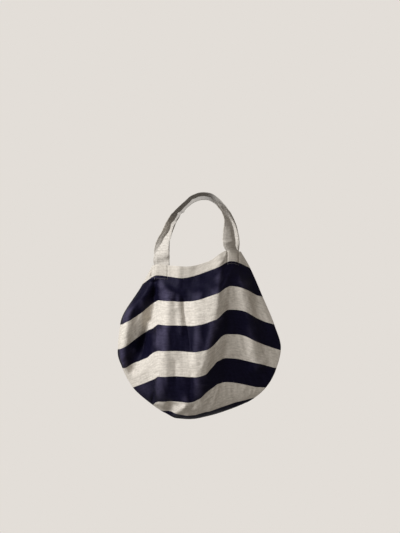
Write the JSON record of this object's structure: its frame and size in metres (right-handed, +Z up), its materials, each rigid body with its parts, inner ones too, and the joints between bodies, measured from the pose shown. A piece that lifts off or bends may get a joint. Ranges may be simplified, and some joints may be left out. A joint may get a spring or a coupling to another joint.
{
  "type": "striped linen tote bag",
  "caption": "Large soft round-bottomed tote of wide-striped linen, open at the mouth, hanging from two flat plain linen handles.",
  "frame": {"origin": "under the tops of the two handles, midway between them, where something holds the bag up", "axes": "+Z up; +X to the right and +Y to the back as the bag hangs with its front panel in view"},
  "size_m": [0.5165, 0.1827, 0.7173],
  "materials": {
    "striped_linen": "matt woven linen in wide stripes of navy and natural oatmeal",
    "plain_linen": "matt woven linen, natural oatmeal"
  },
  "bodies": {
    "root": {"front_panel": "striped_linen", "back_panel": "striped_linen", "front_handle": "plain_linen", "back_handle": "plain_linen"}
  },
  "joints": []
}
